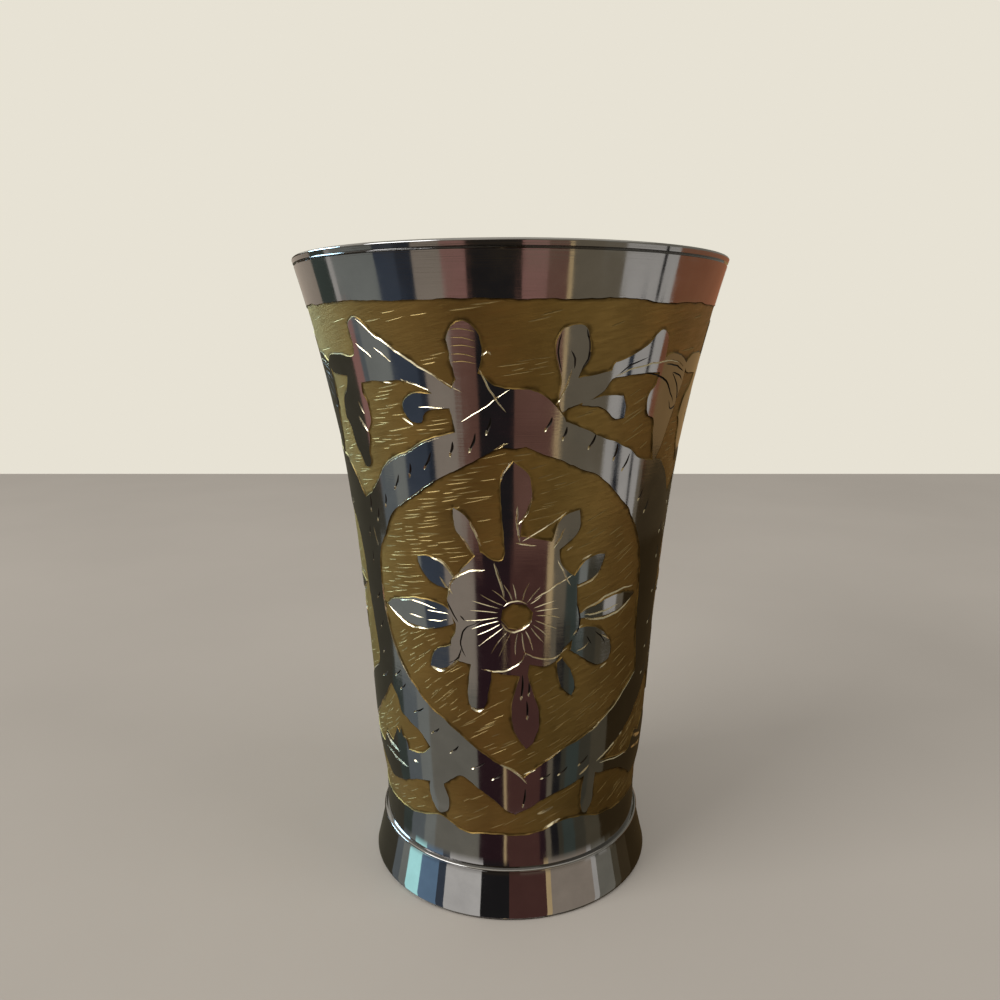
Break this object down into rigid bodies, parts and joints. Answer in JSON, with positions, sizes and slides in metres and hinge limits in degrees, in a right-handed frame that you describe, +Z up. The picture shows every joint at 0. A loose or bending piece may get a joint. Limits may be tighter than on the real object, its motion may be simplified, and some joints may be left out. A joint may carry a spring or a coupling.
{
  "type": "engraved brass tumbler",
  "caption": "Flared brass drinking tumbler with a dark mirror plating, chiselled floral ornament round the wall, a turned lip and a flared foot ring.",
  "frame": {"origin": "centre of the foot's rest face, on the turning axis", "axes": "+Z up along the turning axis, from the foot to the rim; the ornament's main medallion faces -Y"},
  "size_m": [0.0812, 0.0812, 0.12],
  "materials": {
    "dark_plating": "dark mirror plating over brass, chiselled away to the bare metal in the ornament",
    "bare_brass": "dull bare brass with turning lines",
    "soft_solder": "dull grey tin solder"
  },
  "bodies": {
    "root": {"body_shell": "dark_plating", "foot_ring": "dark_plating", "floor_disc": "bare_brass", "floor_seam": "soft_solder", "foot_seam": "soft_solder"}
  },
  "joints": []
}
